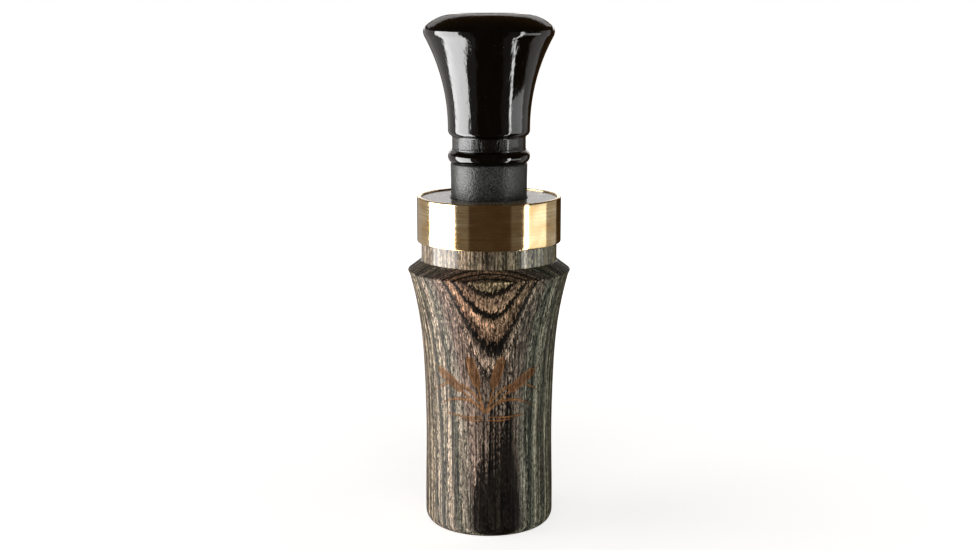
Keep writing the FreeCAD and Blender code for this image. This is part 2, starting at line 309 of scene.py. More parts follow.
# the barrel is turned from laminated hardwood
barrel = {
    "foot": 15.1, "footRound": 3.0, "swell": 6.0, "waist": 14.9, "waistHeight": 21.0,
    "flareHeight": 35.0, "flareRise": 0.25, "flareBow": 0.26, "flareSlope": 0.28,
    "bevel": 0.4, "shoulder": 2.4,
    "groove": 4.25, "neck": 15.8, "bore": 8.9, "mouth": 7.95, "mouthDepth": 12.0, "mouthRound": 1.2,
    "edge": 0.3, "boreEdge": 0.5,
    # rows this far apart below, across and above the engraving, and columns in degrees over it
    "rowsBelow": 1.1, "rowsEngraved": 0.25, "rowsAbove": 0.8, "longest": 1.2,
    "columnsEngraved": 0.55, "columnsBehind": 110,
}

motif = {
    "height": 36.3,         # middle of the engraving above the mouthpiece end
    "turn": -3.0,           # degrees round from the front
    "halfHeight": 8.2, "halfTurn": 70.0, "margin": 5.0,
    "depth": 0.12, "soften": 0.16, "outside": -9.0,
    "rimInset": 0.12, "rimWidth": 0.14,
    "hatchPitch": 0.62, "hatchSlant": 0.55,
}

# sheets of dyed veneer from the front to the middle: thickness in mm, and colour
veneers = [
    (0.53, (120, 106, 84)), (0.39, (24, 19, 15)), (0.26, (112, 92, 76)), (0.08, (62, 50, 40)),
    (0.43, (120, 98, 80)), (0.46, (18, 15, 12)), (0.6, (136, 110, 90)), (0.08, (90, 68, 54)),
    (0.14, (118, 94, 78)), (0.45, (18, 16, 14)), (0.43, (140, 122, 108)), (0.15, (46, 40, 36)),
    (0.3, (112, 98, 88)), (1.05, (96, 84, 76)), (0.3, (84, 74, 68)), (0.8, (112, 106, 96)),
    (0.35, (94, 90, 80)), (0.7, (66, 66, 58)), (0.4, (104, 98, 88)), (0.8, (128, 119, 106)),
    (0.3, (78, 74, 64)), (0.6, (106, 100, 88)), (0.9, (58, 57, 49)), (0.4, (106, 98, 86)),
    (0.6, (120, 112, 98)), (0.4, (66, 62, 52)), (1.0, (122, 114, 99)), (0.5, (62, 56, 45)),
    (1.2, (106, 98, 84)), (0.8, (52, 46, 37)), (1.4, (122, 112, 97)), (2.6, (80, 72, 61)),
]


wood = {
    "lean": 4.5,            # degrees that the sheets face to the right of the front, at the level below
    "twist": -0.094,        # change of lean per mm of height
    "level": 20.0,
    "tilt": 0.015,          # sheets climb by this share of the height
    "middle": 0.4,          # depth where the order of the sheets turns back
    "warm": (1.06, 0.985, 0.94, 1), "cool": (0.87, 1.0, 0.935, 1),
    "blackSheet": (14.2, 16.0), "blackCreep": 0.03, "blackFades": (24.0, 34.0), "blackSlant": 2.2,
    "neckSheenShare": 0.8, "shoulderShade": 0.62, "bodyCoat": 0.05, "neckCoat": 0.9,
}


def ridgeAndNeck():
    # heights of the ridge and of the neck's lower end, worked down from the band
    neckLow = boxOf("band")[0] - barrel["groove"]
    return neckLow - barrel["shoulder"], neckLow


def barrelOutline():
    # straight and rounded foot, spline through waist and flare, ridge, neck, then down the bore
    b = barrel
    top, ridge = boxOf("barrel")[1:]
    ridgeHeight, neckLow = ridgeAndNeck()
    flareFoot = b["waist"] + b["flareRise"]
    flareTop = ridgeHeight - 2 * b["bevel"]
    rise = ridge - b["bevel"] - flareFoot
    knots = [(b["foot"], b["swell"]), (b["waist"], b["waistHeight"]), (flareFoot, b["flareHeight"]),
             (flareFoot + b["flareBow"] * rise, (b["flareHeight"] + flareTop) / 2),
             (ridge - b["bevel"], flareTop)]
    curve = smoothPoints(knots, (0, 1), (b["flareSlope"], 1), 600)
    low, high = motif["height"] - motif["halfHeight"], motif["height"] + motif["halfHeight"]
    heights = np.concatenate([np.arange(b["swell"], low, b["rowsBelow"]),
                              np.arange(low, high, b["rowsEngraved"]),
                              np.arange(high, flareTop, b["rowsAbove"]), [flareTop]])
    body = np.stack([np.interp(heights, curve[:, 1], curve[:, 0]), heights], 1)
    step = b["bore"] - b["mouth"]
    foot = rounded([(b["mouth"], 0, b["mouthRound"]), (b["foot"], 0, b["footRound"]),
                    (b["foot"], b["swell"] - 1, 0), (b["mouth"], b["swell"] - 1, 0)], 10)[:-1]
    rest = rounded([(ridge - b["bevel"], flareTop, 0), (ridge, ridgeHeight, 0.22),
                    (b["neck"], neckLow, 0.12),
                    (b["neck"], top, b["edge"]), (b["bore"], top, b["boreEdge"]),
                    (b["bore"], b["mouthDepth"] + step, 0.2), (b["mouth"], b["mouthDepth"], 0.2),
                    (b["mouth"], b["mouthRound"] + 1, 0)])[1:]
    return spaced(np.vstack([foot, body, rest]), b["longest"])


def strokeDepth(u, v, ends, widths):
    # how far inside a tapering curved stroke each point is: its half width less the distance to its line
    a, b, c = (np.array(end, float) for end in ends)
    t = np.linspace(0, 1, 28)[:, None]
    line = (1 - t) ** 2 * a + 2 * t * (1 - t) * b + t**2 * c
    halfWidth = np.interp(t[:, 0], np.linspace(0, 1, len(widths)), widths)
    best = np.full(u.shape, motif["outside"])
    for start, end, w0, w1 in zip(line[:-1], line[1:], halfWidth[:-1], halfWidth[1:]):
        run = end - start
        share = np.clip(((u - start[0]) * run[0] + (v - start[1]) * run[1]) / (run @ run), 0, 1)
        gap = np.hypot(u - start[0] - share * run[0], v - start[1] - share * run[1])
        best = np.maximum(best, w0 + share * (w1 - w0) - gap)
    return best


def engravedRush(u, v):
    # bulrushes leaning out over open water; returns how deep inside the drawing each point is
    grass = [((0.2, -5.4), (5.2, 5.0), (14.6, -2.6)), ((0.3, -5.6), (4.6, -0.6), (11.8, -5.0))]
    heads = [((2.0, 1.0), (3.6, 6.2)), ((6.2, -0.4), (11.4, 3.0))]
    ripples = [((0.9, -6.9), (6.0, -7.3), (10.8, -6.4)), ((0.5, -7.7), (3.4, -7.9), (6.8, -7.5))]
    root = (0.3, -5.8)
    strokes = [(blade, (0.2, 0.34, 0.3, 0.05)) for blade in grass]
    for low, high in heads:
        run = (high[0] - low[0], high[1] - low[1])
        middle = (low[0] + run[0] / 2, low[1] + run[1] / 2 + 0.2)
        spike = (high[0] + 0.4 * run[0], high[1] + 0.34 * run[1])
        bend = (low[0] - 0.55 * run[0], low[1] - 0.75 * run[1])
        strokes.append(((low, middle, high), (1.0, 1.2, 1.0)))
        strokes.append(((high, high, spike), (0.2, 0.12)))
        strokes.append(((root, bend, low), (0.26, 0.22)))
    strokes += [(ripple, (0.2, 0.26, 0.05)) for ripple in ripples]
    # each stroke is drawn on both sides, and the deepest one counts
    best = np.full(u.shape, motif["outside"])
    for side in (-1, 1):
        for ends, widths in strokes:
            best = np.maximum(best, strokeDepth(u, v, [(side * x, y) for x, y in ends], widths))
    return best


def engrave(points, angles):
    # presses the drawing into the front, and marks how burnt each point is: bright rim, hatched middle
    radius = np.hypot(points[..., 0], points[..., 1])
    turn = (np.degrees(angles) + 90 + 180) % 360 - 180 - motif["turn"]
    u = np.radians(turn)[None] * radius
    v = points[..., 2] - motif["height"]
    near = (np.abs(turn)[None] < motif["halfTurn"]) & (np.abs(v) < motif["halfHeight"])
    inside = near & (radius > barrel["waist"] - 1)
    deep = np.full(radius.shape, motif["outside"])
    deep[inside] = engravedRush(u[inside], v[inside])
    drawn = np.clip(deep / motif["soften"] + 0.5, 0, 1)
    rim = np.exp(-((deep - motif["rimInset"]) / motif["rimWidth"]) ** 2)
    hatch = 0.5 + 0.5 * np.sin((u * motif["hatchSlant"] + v) * 2 * math.pi / motif["hatchPitch"])
    burnt = drawn * np.clip(0.46 + 0.22 * hatch + 0.35 * rim, 0, 1)
    shrink = 1 - motif["depth"] * drawn * (0.6 + 0.4 * hatch) / radius
    points[..., :2] *= shrink[..., None]
    return burnt


def makeWood():
    material, tree, shader, point = newMaterial("laminatedWood")
    w = wood
    lean = math.radians(w["lean"])
    across = dotted(tree, point, (math.cos(lean), math.sin(lean), 0))
    height = dotted(tree, point, (0, 0, 1))
    # the sheets lean, climb, twist and swell slightly, and their edges break up along the fibres
    depth = dotted(tree, point, (math.sin(lean), -math.cos(lean), w["tilt"]))
    aboveLevel = maths(tree, "SUBTRACT", height, w["level"])
    twist = maths(tree, "MULTIPLY", maths(tree, "MULTIPLY", across, aboveLevel), math.radians(w["twist"]))
    swell = noise(tree, stretched(tree, point, (0.09, 0.09, 0.03)), 2.0)
    ragged = noise(tree, stretched(tree, point, (2.6, 2.6, 0.4)), 3.0, 0.7)
    depth = maths(tree, "ADD", depth, twist)
    depth = maths(tree, "ADD", depth, ranged(tree, swell, 0.3, 0.7, -0.12, 0.12))
    depth = maths(tree, "ADD", depth, ranged(tree, ragged, 0.25, 0.75, -0.18, 0.18))
    sparkle = noise(tree, stretched(tree, point, (3.1, 3.1, 1.0)), 2.0, 0.6)
    depth = maths(tree, "ADD", depth, ranged(tree, sparkle, 0.3, 0.7, -0.22, 0.22))
    # the same sheets come again in reverse behind the middle one
    fromMiddle = maths(tree, "ABSOLUTE", maths(tree, "SUBTRACT", depth, w["middle"]))
    total = sum(thickness for thickness, _ in veneers)
    ramp = put(tree, "ShaderNodeValToRGB", {0: ranged(tree, fromMiddle, total, 0.0)})
    ramp.color_ramp.interpolation = "CONSTANT"
    at = 0.0
    for number, (thickness, colour) in enumerate(veneers):
        stop = ramp.color_ramp.elements[0] if number == 0 else ramp.color_ramp.elements.new(at / total)
        stop.color = dye(*colour)
        if number == 0:
            ramp.color_ramp.elements.remove(ramp.color_ramp.elements[1])
        at += thickness
    ridge, neckLow = ridgeAndNeck()
    # painted sheen: on the neck the sheets are mostly covered by one flat, light tone, standing in for the
    # highlight that washes them out
    neckSheen = ranged(tree, height, neckLow - 0.3, neckLow, 0.0, w["neckSheenShare"])
    colour = mixed(tree, neckSheen, ramp.outputs[0], dye(122, 110, 92))
    # a warmer tint on the left and a greener one on the right
    tint = mixed(tree, ranged(tree, across, -8.0, 9.0), w["warm"], w["cool"])
    colour = mixed(tree, 1.0, colour, tint, "MULTIPLY")
    fibres = useGroup(tree, woodFibres, {"Point": point})
    # growth lines lie in the sheets, so they are thin stripes at the sides and wide figures at the front
    flat = {"X": maths(tree, "MULTIPLY", across, 0.10), "Y": maths(tree, "MULTIPLY", depth, 2.2),
            "Z": maths(tree, "MULTIPLY", height, 0.012)}
    growth = noise(tree, put(tree, "ShaderNodeCombineXYZ", flat).outputs[0], 3.0, 0.75)
    colour = mixed(tree, 1.0, colour, ranged(tree, growth, 0.36, 0.64, 0.38, 1.8), "MULTIPLY")
    colour = mixed(tree, 1.0, colour, ranged(tree, fibres["Streak"], 0.36, 0.64, 0.22, 2.1), "MULTIPLY")
    colour = mixed(tree, 1.0, colour, ranged(tree, sparkle, 0.32, 0.68, 0.12, 2.35), "MULTIPLY")
    colour = mixed(tree, maths(tree, "MULTIPLY", fibres["Pore"], 0.7), colour, dye(10, 8, 7))
    # one sheet is dyed black in the foot, and frays out along the fibres above it, sooner on the left
    low, high = w["blackSheet"]
    crept = maths(tree, "SUBTRACT", depth, maths(tree, "MULTIPLY", height, w["blackCreep"]))
    frayed = maths(tree, "SUBTRACT", height, maths(tree, "MULTIPLY", across, w["blackSlant"]))
    frayed = maths(tree, "ADD", frayed, ranged(tree, fibres["Streak"], 0.3, 0.7, -9.0, 9.0))
    frayed = maths(tree, "ADD", frayed, ranged(tree, sparkle, 0.3, 0.7, -6.0, 6.0))
    black = maths(tree, "MULTIPLY", ranged(tree, crept, low - 0.45, low - 0.2),
                  ranged(tree, depth, high + 0.06, high - 0.06))
    black = maths(tree, "MULTIPLY", black, ranged(tree, frayed, w["blackFades"][1], w["blackFades"][0]))
    inked = maths(tree, "MULTIPLY", black, ranged(tree, growth, 0.3, 0.7, 0.98, 0.84))
    colour = mixed(tree, inked, colour, dye(2, 2, 2))
    # painted shade: the upward-facing shoulder is darkened almost to black, standing in for the light that
    # does not reach it from above
    shoulder = maths(tree, "MULTIPLY", ranged(tree, height, ridge - 0.05, ridge + 0.15),
                     ranged(tree, height, neckLow, neckLow - 0.1))
    colour = mixed(tree, maths(tree, "MULTIPLY", shoulder, w["shoulderShade"]), colour, dye(6, 5, 4))
    burnt = put(tree, "ShaderNodeAttribute", attribute_name="burn").outputs["Fac"]
    scorch = put(tree, "ShaderNodeValToRGB", {0: burnt})
    stops = scorch.color_ramp.elements
    stops[0].position, stops[0].color = 0.25, dye(34, 22, 13)
    stops[1].position, stops[1].color = 0.95, dye(176, 128, 82)
    stops.new(0.6).color = dye(122, 84, 52)
    fibreTone = ranged(tree, fibres["Streak"], 0.34, 0.66, 0.55, 1.4)
    bare = mixed(tree, 1.0, scorch.outputs[0], fibreTone, "MULTIPLY")
    bare = mixed(tree, 1.0, bare, ranged(tree, sparkle, 0.32, 0.68, 0.6, 1.35), "MULTIPLY")
    colour = mixed(tree, ranged(tree, burnt, 0.15, 0.5, 0.0, 0.82), colour, bare)
    tree.links.new(colour, shader["Base Color"])
    tree.links.new(ranged(tree, burnt, 0.1, 0.5, 0.55, 0.8), shader["Roughness"])
    relief = maths(tree, "SUBTRACT", maths(tree, "MULTIPLY", fibres["Streak"], 0.7), fibres["Pore"])
    tree.links.new(bumped(tree, relief, 0.03), shader["Normal"])
    # the neck was polished with the band on, the rest only rubbed with oil
    polished = ranged(tree, height, neckLow - 0.3, neckLow, w["bodyCoat"], w["neckCoat"])
    tree.links.new(polished, shader["Coat Weight"])
    shader["Coat Roughness"].default_value = 0.2
    shader["Specular IOR Level"].default_value = 0.14
    return material


def makeBarrel():
    near = math.radians(motif["halfTurn"] + motif["margin"])
    front = np.arange(-math.pi / 2 - near, -math.pi / 2 + near, math.radians(barrel["columnsEngraved"]))
    back = np.linspace(front[-1], front[0] + 2 * math.pi, barrel["columnsBehind"])[1:-1]
    angles = np.concatenate([front, back])
    points = turnedPoints(barrelOutline(), angles)
    burnt = engrave(points, angles)
    piece = gridPiece("barrelBody", points)
    burn = piece.data.attributes.new("burn", "FLOAT", "POINT")
    burn.data.foreach_set("value", burnt.ravel().astype(np.float32))
    finishPiece(piece, "barrel", "barrel", makeWood())


makeBarrel()
print("barrel made")


# the band is brass, brushed on the lathe
band = {"edge": 0.28, "innerEdge": 0.15, "pitch": 0.2, "longest": 0.8, "around": 300}


def makeBrass():
    material, tree, shader, point = newMaterial("brushedBrass")
    lines = useGroup(tree, latheMarks, {"Point": point, "Pitch": band["pitch"]})["Lines"]
    stain = noise(tree, stretched(tree, point, (0.16, 0.16, 0.3)), 3.0)
    colour = mixed(tree, ranged(tree, stain, 0.35, 0.7), dye(238, 218, 174), dye(218, 182, 126))
    colour = mixed(tree, 1.0, colour, ranged(tree, lines, 0.3, 0.7, 0.68, 1.16), "MULTIPLY")
    dust = useGroup(tree, dustSpecks, {"Point": point, "Amount": 0.5})["Mask"]
    tree.links.new(dusted(tree, dust, 0.5, colour, dye(250, 214, 140)), shader["Base Color"])
    tree.links.new(ranged(tree, lines, 0.3, 0.7, 0.10, 0.22), shader["Roughness"])
    tree.links.new(bumped(tree, lines, 0.003), shader["Normal"])
    # brushed round the band, so highlights spread up and down but keep their upright edges
    tangent = put(tree, "ShaderNodeTangent", direction_type="RADIAL", axis="Z").outputs[0]
    tree.links.new(tangent, shader["Tangent"])
    shader["Anisotropic"].default_value = 0.85
    shader["Anisotropic Rotation"].default_value = 0.25
    shader["Metallic"].default_value = 0.97
    return material


def makeBand():
    low, high, outer = boxOf("band")
    inner = barrel["neck"]
    corners = [(inner, low, band["innerEdge"]), (outer, low, band["edge"]), (outer, high, band["edge"]),
               (inner, high, band["innerEdge"])]
    outline = spaced(rounded(corners), band["longest"])
    piece = gridPiece("brassBand", turnedPoints(outline, fullTurn(band["around"])))
    finishPiece(piece, "band", "barrel", makeBrass())


makeBand()
print("band made")


# the bell is black and lacquered
bell = {
    "socket": 6.66, "wall": 1.85, "rise": 0.98, "beadWidth": 3.0, "beadRoundIn": 0.95, "coveRound": 0.5,
    "coveWidth": 3.16, "underside": 0.3, "edgeInset": 0.5, "edgeHeight": 1.07, "straight": 0.4,
    "lipHeight": 4.1, "lipRound": 1.1, "lipBow": 0.28, "rimRadius": 2.7, "rimTurn": 28.0,
    "crown": 7.6, "crownBulge": 0.75,
    "throat": 5.23, "throatLength": 5.0, "funnelInset": 1.0,
    "longest": 1.0, "around": 288,
}


def bellOutline():
    # round bead and hollow cove, a cone that leaves its foot straight up and bends out in one arc,
    # a rounded lip and a domed top, then a funnel down to the throat
    b = bell
    low, top, widest = boxOf("bell")
    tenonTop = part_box("tone_board")[1][2] / mm
    cove = b["socket"] + b["wall"]
    bead = cove + b["rise"]
    lip, lipHeight = widest - b["lipBow"], top - b["lipHeight"]
    beadTop = low + b["beadWidth"]
    coneLow = beadTop + b["coveWidth"]
    coneEdge = coneLow + b["underside"]
    coneStart = coneEdge + b["edgeHeight"]
    flareStart = coneStart + b["straight"]
    beadIn = bead - b["beadRoundIn"]
    roll = arcPoints((beadIn, low), (bead, low + b["beadWidth"] / 2), (beadIn, beadTop), 24)
    hollow = arcPoints((beadIn, beadTop), (cove + 0.1 * b["coveRound"], beadTop + 0.35 * b["coveRound"]),
                       (cove, beadTop + 0.8 * b["coveRound"]), 8)[1:]
    browEdge = (bead - 0.26 * b["edgeInset"], coneEdge + 0.45 * b["edgeHeight"])
    browKnots = [(cove, coneLow - 0.35), (cove + 0.12, coneLow), (bead - b["edgeInset"], coneEdge),
                 browEdge, (bead, coneStart)]
    brow = smoothPoints(browKnots, (0, 1), (0, 1), 22)
    rise, out = lipHeight - b["lipRound"] - flareStart, lip - bead
    flare = (rise**2 + out**2) / (2 * out)
    part = 0.6 * rise
    cone = arcPoints((bead, flareStart), (bead + flare - math.sqrt(flare**2 - part**2), flareStart + part),
                     (lip, lipHeight - b["lipRound"]), 44)
    edgeMiddle = (widest - 0.25 * b["lipBow"], lipHeight - b["lipRound"] / 2)
    edge = arcPoints(cone[-1], edgeMiddle, (widest, lipHeight), 7)
    turn = np.linspace(0, math.radians(b["rimTurn"]), 12)[1:]
    overRadius = widest - b["rimRadius"] * (1 - np.cos(turn))
    over = np.stack([overRadius, lipHeight + b["rimRadius"] * np.sin(turn)], 1)
    start, end = over[-1], np.array([b["crown"], top])
    across = np.array([end[1] - start[1], start[0] - end[0]])
    dome = arcPoints(start, (start + end) / 2 + across / np.hypot(*across) * b["crownBulge"], end, 26)
    mouth = b["crown"] - b["funnelInset"]
    rimMiddle = (b["crown"] - 0.7 * b["funnelInset"], top - 0.2)
    rim = arcPoints(end, rimMiddle, (mouth, top - b["funnelInset"]), 8)[1:]
    funnel = smoothPoints([(mouth, top - b["funnelInset"]),
                           (b["throat"] + 0.35 * (mouth - b["throat"]), tenonTop + 0.6 * (top - tenonTop)),
                           (b["throat"], tenonTop + b["throatLength"])], (-0.35, -1), (0, -1), 24)[1:]
    seat = np.array([(b["throat"], tenonTop), (b["socket"], tenonTop), (b["socket"], low)])
    whole = np.vstack([roll, hollow, brow, cone, edge[1:], over[:-1], dome, rim, funnel, seat])
    return spaced(whole, b["longest"])


def makeLacquer():
    material, tree, shader, point = newMaterial("blackLacquer")
    dust = useGroup(tree, dustSpecks, {"Point": point, "Amount": 0.55})["Mask"]
    wisps = noise(tree, stretched(tree, point, (0.5, 0.5, 0.16)), 4.0, 0.7)
    black = mixed(tree, ranged(tree, wisps, 0.4, 0.8), dye(1, 2, 2), dye(5, 6, 6))
    tree.links.new(dusted(tree, dust, 0.35, black, dye(120, 118, 112)), shader["Base Color"])
    # the cove was too tight to polish, and stayed rough
    low = boxOf("bell")[0]
    coveMiddle = low + bell["beadWidth"] + bell["coveWidth"] / 2
    offMiddle = maths(tree, "ABSOLUTE", maths(tree, "SUBTRACT", dotted(tree, point, (0, 0, 1)), coveMiddle))
    cove = ranged(tree, offMiddle, bell["coveWidth"] / 2 + 0.1, bell["coveWidth"] / 2 - 0.3)
    polish = ranged(tree, wisps, 0.35, 0.75, 0.05, 0.16)
    tree.links.new(maths(tree, "ADD", polish, maths(tree, "MULTIPLY", cove, 0.2)), shader["Roughness"])
    # runs and brush-out in the lacquer, drawn along the bell, and specks caught under it
    runs = noise(tree, stretched(tree, point, (0.34, 0.34, 0.10)), 3.0, 0.55)
    grit = noise(tree, stretched(tree, point, (1.7, 1.7, 1.0)), 3.0, 0.6)
    height = maths(tree, "ADD", runs, maths(tree, "MULTIPLY", grit, 0.05))
    height = maths(tree, "ADD", height, maths(tree, "MULTIPLY", dust, 0.04))
    pitted = noise(tree, stretched(tree, point, (2.6, 2.6, 2.0)), 2.0, 0.6)
    height = maths(tree, "ADD", height, maths(tree, "MULTIPLY", maths(tree, "MULTIPLY", cove, pitted), 1.1))
    tree.links.new(bumped(tree, height, 0.16), shader["Normal"])
    shader["Coat Weight"].default_value = 0.4
    shader["Coat Roughness"].default_value = 0.03
    return material


def makeBell():
    piece = gridPiece("bellShell", turnedPoints(bellOutline(), fullTurn(bell["around"])))
    finishPiece(piece, "bell", "stopper", makeLacquer())


makeBell()
print("bell made")


# neck sleeve and its two seal rings
sleeve = {
    "radius": 8.83, "taperLength": 3.2, "edge": 0.35, "floor": 7.46, "inner": 6.66,
    "grooveWidth": 1.9, "grain": 0.4, "longest": 0.7, "around": 240,
}

ringShape = {"inner": 7.48, "corner": 0.45, "grain": 0.5, "around": 200}


def makeSleevePlastic():
    material, tree, shader, point = newMaterial("mouldedBlack")
    height = useGroup(tree, mouldTexture, {"Point": point, "Grain": sleeve["grain"]})["Height"]
    dust = useGroup(tree, dustSpecks, {"Point": point, "Amount": 0.6})["Mask"]
    cloud = noise(tree, stretched(tree, point, (0.4, 0.4, 0.25)), 3.0, 0.6)
    grey = mixed(tree, ranged(tree, cloud, 0.35, 0.7), dye(5, 7, 7), dye(14, 17, 16))
    # painted glints: the peaks of the mould texture are coloured lighter
    grey = mixed(tree, ranged(tree, height, 0.6, 1.05, 0.0, 0.85), grey, dye(66, 70, 66))
    # painted shadow: darker near the bottom, where it goes into the barrel
    rise = dotted(tree, point, (0, 0, 1))
    barrelTop = boxOf("barrel")[1]
    grey = mixed(tree, ranged(tree, rise, barrelTop + 0.5, barrelTop + 4.5, 0.6, 0.0), grey, dye(4, 5, 5))
    tree.links.new(dusted(tree, dust, 0.4, grey, dye(150, 152, 146)), shader["Base Color"])
    tree.links.new(ranged(tree, height, 0.3, 1.1, 0.26, 0.44), shader["Roughness"])
    tree.links.new(bumped(tree, height, 0.05), shader["Normal"])
    shader["Specular IOR Level"].default_value = 0.58
    return material


def makeSleeve():
    s = sleeve
    low, high, swell = boxOf("neck_sleeve")
    corners = [(s["inner"], low, 0.1), (s["radius"], low, s["edge"])]
    for ring in ("seal_ring_lower", "seal_ring_upper"):
        middle = sum(boxOf(ring)[:2]) / 2
        grooveLow, grooveHigh = middle - s["grooveWidth"] / 2, middle + s["grooveWidth"] / 2
        corners += [(s["radius"], grooveLow, 0.1), (s["floor"], grooveLow, 0.15),
                    (s["floor"], grooveHigh, 0.15), (s["radius"], grooveHigh, 0.1)]
    corners += [(s["radius"], high - s["edge"] - s["taperLength"], 0), (swell, high, s["edge"]),
                (s["inner"], high, 0.1)]
    outline = spaced(rounded(corners, 5), s["longest"])
    piece = gridPiece("neckSleeve", turnedPoints(outline, fullTurn(s["around"])))
    finishPiece(piece, "neck_sleeve", "stopper", makeSleevePlastic())


def makeRubber():
    material, tree, shader, point = newMaterial("ringRubber")
    height = useGroup(tree, mouldTexture, {"Point": point, "Grain": ringShape["grain"]})["Height"]
    dust = useGroup(tree, dustSpecks, {"Point": point, "Amount": 0.9})["Mask"]
    tree.links.new(dusted(tree, dust, 0.3, dye(22, 22, 23), dye(110, 104, 96)), shader["Base Color"])
    tree.links.new(ranged(tree, height, 0.2, 1.2, 0.32, 0.5), shader["Roughness"])
    tree.links.new(bumped(tree, height, 0.01), shader["Normal"])
    return material


def makeRings():
    rubber = makeRubber()
    for node, title in (("seal_ring_upper", "sealRingUpper"), ("seal_ring_lower", "sealRingLower")):
        low, high, outer = boxOf(node)
        inner, size = ringShape["inner"], ringShape["corner"]
        corners = [(inner, low, size), (outer, low, size), (outer, high, size), (inner, high, size)]
        piece = gridPiece(title, turnedPoints(rounded(corners, 8), fullTurn(ringShape["around"])))
        finishPiece(piece, node, "seal_rings", rubber)


makeSleeve()
makeRings()
print("sleeve and rings made")


# the tone board keeps its designed shape and gets its moulded finish
board = {"grain": 0.7, "filePitch": 0.35}


def makeBoardPlastic():
    material, tree, shader, point = newMaterial("boardMoulding")
    height = useGroup(tree, mouldTexture, {"Point": point, "Grain": board["grain"]})["Height"]
    file = useGroup(tree, latheMarks, {"Point": point, "Pitch": board["filePitch"]})["Lines"]
    cloud = noise(tree, stretched(tree, point, (0.25, 0.25, 0.12)), 3.0)
    dark = mixed(tree, ranged(tree, cloud, 0.3, 0.7), dye(30, 31, 33), dye(46, 47, 49))
    dust = useGroup(tree, dustSpecks, {"Point": point, "Amount": 0.7})["Mask"]
    tree.links.new(dusted(tree, dust, 0.4, dark, dye(140, 136, 128)), shader["Base Color"])
    tree.links.new(ranged(tree, file, 0.3, 0.7, 0.28, 0.46), shader["Roughness"])
    relief = maths(tree, "ADD", maths(tree, "MULTIPLY", height, 0.4), file)
    tree.links.new(bumped(tree, relief, 0.01), shader["Normal"])
    return material


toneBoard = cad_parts["tone_board"]
toneBoard.data.materials.clear()
toneBoard.data.materials.append(makeBoardPlastic())
print("tone board finished")


# the reeds are frosted polyester film
reed = {
    "thickness": 0.3, "corner": 2.6, "edge": 0.06, "rowStep": 0.4, "columns": 41,
    "dimple": 1.2, "dimpleDepth": 0.12,
    "dimpleRise": 12.5,     # above the board's tip
}


def reedPoints(node, dimpled):
    # a flat section carried along Z: full width, narrowing at 45 degrees over the clipped corners
    low, high = (np.array(corner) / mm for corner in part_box(node))
    thickness = reed["thickness"]
    halfWidth = high[0]
    front = low[1]
    heights = np.concatenate([[low[2]], np.arange(low[2] + 0.1, high[2], reed["rowStep"]), [high[2]]])
    width = halfWidth - np.clip(reed["corner"] - (heights - low[2]), 0, None)
    across = np.linspace(-1, 1, reed["columns"])
    sectionX = np.concatenate([across, across[::-1]])
    sectionY = np.concatenate([np.zeros_like(across), np.ones_like(across)]) * thickness
    sharp = np.abs(sectionX) > 0.999
    sectionY = np.where(sharp, np.clip(sectionY, reed["edge"], thickness - reed["edge"]), sectionY)
    x = width[:, None] * sectionX
    y = front + sectionY + 0 * x
    z = heights[:, None] + 0 * x
    if dimpled:
        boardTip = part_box("tone_board")[0][2] / mm
        away = np.hypot(x, z - boardTip - reed["dimpleRise"]) / reed["dimple"]
        y = y + reed["dimpleDepth"] * np.cos(np.clip(away, 0, 1) * math.pi / 2) ** 2
    return np.stack([x, y, z], -1)


def makeFilm():
    material, tree, shader, point = newMaterial("reedFilm")
    cloud = noise(tree, stretched(tree, point, (0.3, 0.3, 0.1)), 3.0)
    scratch = noise(tree, stretched(tree, point, (5.0, 5.0, 0.15)), 3.0, 0.7)
    milky = mixed(tree, ranged(tree, cloud, 0.3, 0.7), dye(196, 198, 186), dye(214, 214, 204))
    scratched = mixed(tree, ranged(tree, scratch, 0.5, 0.75, 0.0, 0.35), milky, dye(238, 238, 232))
    tree.links.new(scratched, shader["Base Color"])
    tree.links.new(ranged(tree, scratch, 0.3, 0.7, 0.2, 0.42), shader["Roughness"])
    tree.links.new(bumped(tree, scratch, 0.004), shader["Normal"])
    shader["Subsurface Weight"].default_value = 0.15
    shader["Subsurface Scale"].default_value = 0.0005
    return material


def makeReeds():
    film = makeFilm()
    for node, title in (("lower_reed", "reedLower"), ("upper_reed", "reedUpper")):
        piece = gridPiece(title, reedPoints(node, node == "upper_reed"), ring=False)
        piece.data.materials.append(film)
        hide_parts(node)
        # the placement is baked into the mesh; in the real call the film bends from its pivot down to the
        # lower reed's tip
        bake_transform(piece)


makeReeds()
print("reeds made")


# the wedge is cut cork
wedge = {"chamfer": 0.5, "around": 160, "rows": 90, "pits": 0.05, "cell": 1.4}


def makeCork():
    material, tree, shader, point = newMaterial("cutCork")
    inputs = {"Vector": point, "Scale": wedge["cell"], "Randomness": 1.0}
    cells = put(tree, "ShaderNodeTexVoronoi", inputs, feature="F1").outputs["Distance"]
    fleck = ranged(tree, noise(tree, stretched(tree, point, (1.1, 1.1, 0.6)), 4.0, 0.7), 0.58, 0.68)
    tan = mixed(tree, ranged(tree, cells, 0.1, 0.8), dye(206, 160, 112), dye(168, 120, 78))
    tone = noise(tree, point, 3.0, 0.6, scale=0.5)
    tan = mixed(tree, 1.0, tan, ranged(tree, tone, 0.3, 0.7, 0.75, 1.15), "MULTIPLY")
    tree.links.new(mixed(tree, fleck, tan, dye(70, 42, 24)), shader["Base Color"])
    tree.links.new(ranged(tree, fleck, 0.0, 1.0, 0.75, 0.9), shader["Roughness"])
    height = maths(tree, "SUBTRACT", cells, maths(tree, "MULTIPLY", fleck, 1.5))
    tree.links.new(bumped(tree, height, 0.06), shader["Normal"])
    return material


